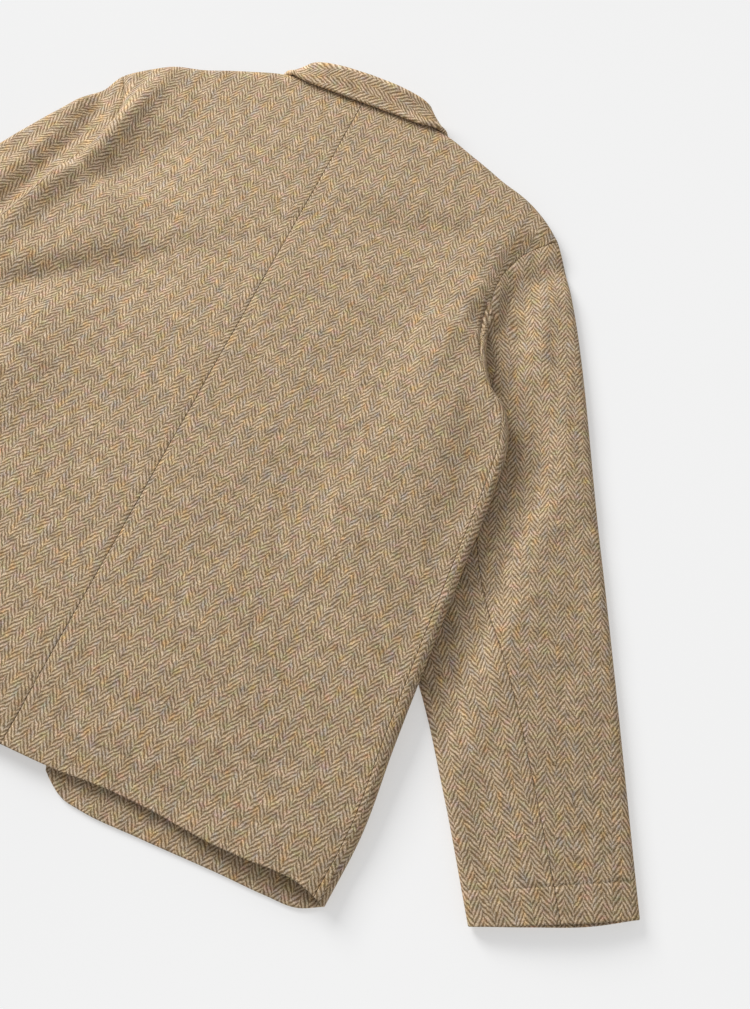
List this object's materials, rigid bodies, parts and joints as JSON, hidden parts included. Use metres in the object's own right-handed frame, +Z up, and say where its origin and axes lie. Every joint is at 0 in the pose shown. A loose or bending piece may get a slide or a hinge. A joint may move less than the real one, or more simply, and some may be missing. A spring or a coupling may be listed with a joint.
{
  "type": "herringbone tweed work jacket",
  "caption": "Hip length jacket of herringbone tweed with a turned down collar and two piece sleeves, laid out flat on its front with its back up.",
  "frame": {"origin": "on the surface that the jacket lies on, under the middle of its outline", "axes": "+X to the wearer's right, +Y from the hem to the collar, +Z up out of the back"},
  "size_m": [1.0368, 0.7402, 0.0341],
  "materials": {
    "back_tweed": "rough woollen herringbone",
    "front_tweed": "rough woollen herringbone",
    "sleeve_tweed": "rough woollen herringbone",
    "collar_tweed": "rough woollen herringbone"
  },
  "bodies": {
    "root": {"back_left": "back_tweed", "back_right": "back_tweed", "front_left": "front_tweed", "front_right": "front_tweed", "sleeve_top_left": "sleeve_tweed", "sleeve_top_right": "sleeve_tweed", "sleeve_under_left": "sleeve_tweed", "sleeve_under_right": "sleeve_tweed", "collar": "collar_tweed"}
  },
  "joints": []
}
